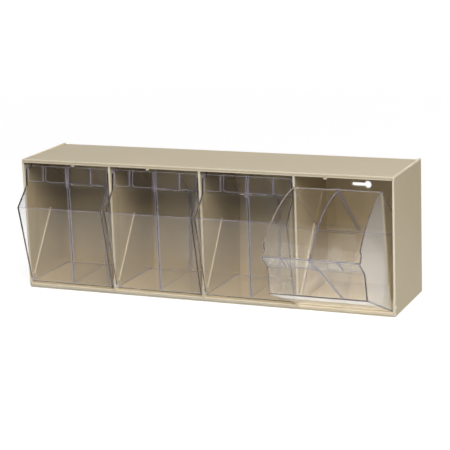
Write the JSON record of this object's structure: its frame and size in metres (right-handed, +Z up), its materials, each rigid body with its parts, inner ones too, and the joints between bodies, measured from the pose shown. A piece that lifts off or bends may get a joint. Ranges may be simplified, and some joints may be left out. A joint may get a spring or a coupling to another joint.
{
  "type": "tilt-out bin unit",
  "caption": "Wide moulded housing with a row of clear tilt-out bins; each bin tips forward on pins at its foot and holds a centre divider.",
  "frame": {"origin": "middle of the face that the housing stands on", "axes": "+X along the row of bins to the right as seen from the front, +Y from the front to the back, +Z up"},
  "size_m": [0.6, 0.2848, 0.2064],
  "materials": {
    "housing_plastic": "satin moulded beige polystyrene",
    "clear_plastic": "polished clear crystal polystyrene"
  },
  "bodies": {
    "housing": {"housing": "housing_plastic"},
    "tilting_bin_1": {"bin_1": "clear_plastic", "centre_divider_1": "clear_plastic"},
    "tilting_bin_2": {"bin_2": "clear_plastic", "centre_divider_2": "clear_plastic"},
    "tilting_bin_3": {"bin_3": "clear_plastic", "centre_divider_3": "clear_plastic"},
    "tilting_bin_4": {"bin_4": "clear_plastic", "centre_divider_4": "clear_plastic"}
  },
  "joints": [
    {"name": "bin_1_tilt", "type": "hinge", "parent": "housing", "child": "tilting_bin_1", "pos_m": [-0.22387, -0.06525, 0.014], "axis": [1, 0, 0], "range_deg": [0, 55]},
    {"name": "bin_2_tilt", "type": "hinge", "parent": "housing", "child": "tilting_bin_2", "pos_m": [-0.07462, -0.06525, 0.014], "axis": [1, 0, 0], "range_deg": [0, 55]},
    {"name": "bin_3_tilt", "type": "hinge", "parent": "housing", "child": "tilting_bin_3", "pos_m": [0.07462, -0.06525, 0.014], "axis": [1, 0, 0], "range_deg": [0, 55]},
    {"name": "bin_4_tilt", "type": "hinge", "parent": "housing", "child": "tilting_bin_4", "pos_m": [0.22387, -0.06525, 0.014], "axis": [1, 0, 0], "range_deg": [-55, 0]}
  ]
}
